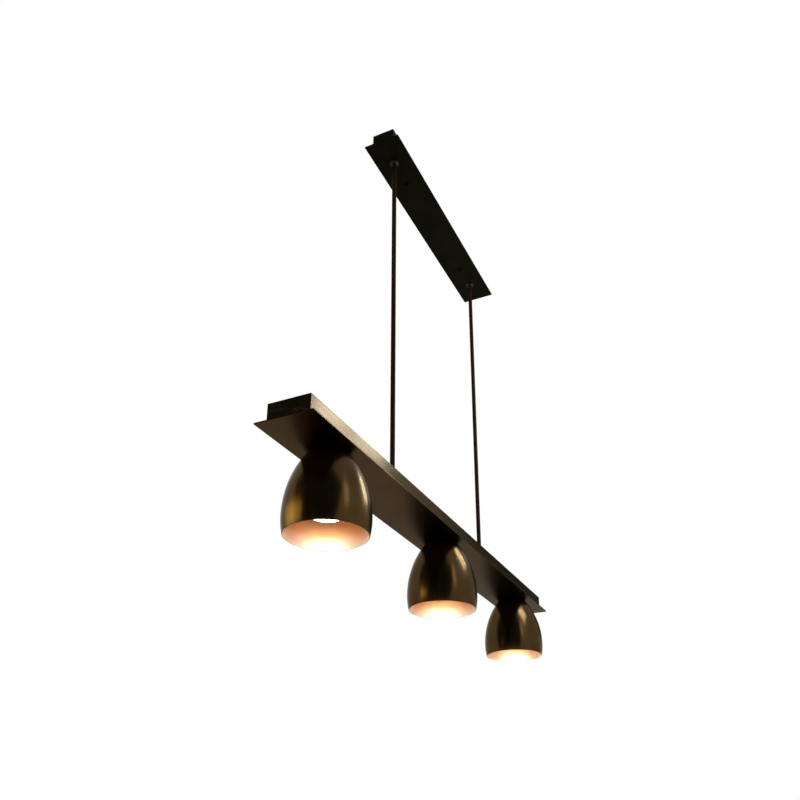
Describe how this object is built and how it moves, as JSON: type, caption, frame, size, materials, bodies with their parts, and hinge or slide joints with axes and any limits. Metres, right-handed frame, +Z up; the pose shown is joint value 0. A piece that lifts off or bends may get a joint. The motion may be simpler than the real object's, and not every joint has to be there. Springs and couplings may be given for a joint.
{
  "type": "pendant light",
  "caption": "Linear pendant light: bell-shaped dark bronze shades with copper insides under a shallow bar, hung on two slim rods from a long canopy.",
  "frame": {"origin": "middle of the ceiling bracket's fixing slots, on the ceiling plane", "axes": "+X along the bar from the near end to the far end, +Y across it, +Z up into the ceiling"},
  "size_m": [1, 0.12, 0.84],
  "materials": {
    "bronze": "gloss dark bronze",
    "brushed_bronze": "brushed bronze",
    "shade": "polished dark bronze, copper inside",
    "swivel": "dark plated",
    "zinc": "zinc plated",
    "brass": "bright",
    "block": "ivory moulded",
    "holder": "black moulded",
    "bush": "black",
    "cable": "white sheath",
    "lead": "sleeved",
    "earth_lead": "green and yellow",
    "lamp_cap": "nickel plated",
    "lamp_glass": "frosted face"
  },
  "bodies": {
    "canopy": {"ceiling_bracket": "zinc", "bracket_studs": "zinc", "canopy_frame": "bronze", "canopy_plate": "bronze", "cap_nuts": "bronze", "swivel_seat_near": "swivel", "swivel_seat_far": "swivel", "swivel_ring_near": "bronze", "swivel_ring_far": "bronze", "swivel_cap_near": "swivel", "swivel_cap_far": "swivel", "mains_block": "block", "mains_block_screws": "brass", "canopy_cable": "cable", "canopy_earth_screw": "brass", "canopy_earth_lead": "earth_lead"},
    "pendant": {"swivel_ball_near": "swivel", "swivel_ball_far": "swivel", "rod_near": "bronze", "rod_far": "bronze", "rod_collars": "bronze", "rod_lock_nuts": "zinc", "bar_housing": "brushed_bronze", "bar_plate": "bronze", "plate_tabs": "zinc", "end_screws": "bronze", "rod_cable": "cable", "cable_bush": "bush", "bar_block": "block", "bar_block_screws": "brass", "bar_earth_screw": "brass", "bar_earth_lead": "earth_lead", "lamp_lead_1": "lead", "lamp_lead_2": "lead", "lamp_lead_3": "lead", "shade_1": "shade", "shade_2": "shade", "shade_3": "shade", "lampholder_1": "holder", "lampholder_2": "holder", "lampholder_3": "holder", "holder_ring_1": "holder", "holder_ring_2": "holder", "holder_ring_3": "holder", "shade_ring_1": "holder", "shade_ring_2": "holder", "shade_ring_3": "holder", "screw_shell_1": "brass", "screw_shell_2": "brass", "screw_shell_3": "brass", "centre_contacts": "brass"},
    "lamp_1": {"lamp_cap_1": "lamp_cap", "lamp_bulb_1": "lamp_glass"},
    "lamp_2": {"lamp_cap_2": "lamp_cap", "lamp_bulb_2": "lamp_glass"},
    "lamp_3": {"lamp_cap_3": "lamp_cap", "lamp_bulb_3": "lamp_glass"}
  },
  "joints": [
    {"name": "swing", "type": "hinge", "parent": "canopy", "child": "pendant", "pos_m": [0, 0, -0.0264], "axis": [1, 0, 0], "range_deg": [-15, 15]},
    {"name": "lamp_1_turn", "type": "hinge", "parent": "pendant", "child": "lamp_1", "pos_m": [-0.388, 0, -0.745], "axis": [0, 0, 1], "range_deg": [0, 1080]},
    {"name": "lamp_2_turn", "type": "hinge", "parent": "pendant", "child": "lamp_2", "pos_m": [0, 0, -0.745], "axis": [0, 0, 1], "range_deg": [0, 1080]},
    {"name": "lamp_3_turn", "type": "hinge", "parent": "pendant", "child": "lamp_3", "pos_m": [0.388, 0, -0.745], "axis": [0, 0, 1], "range_deg": [0, 1080]}
  ]
}
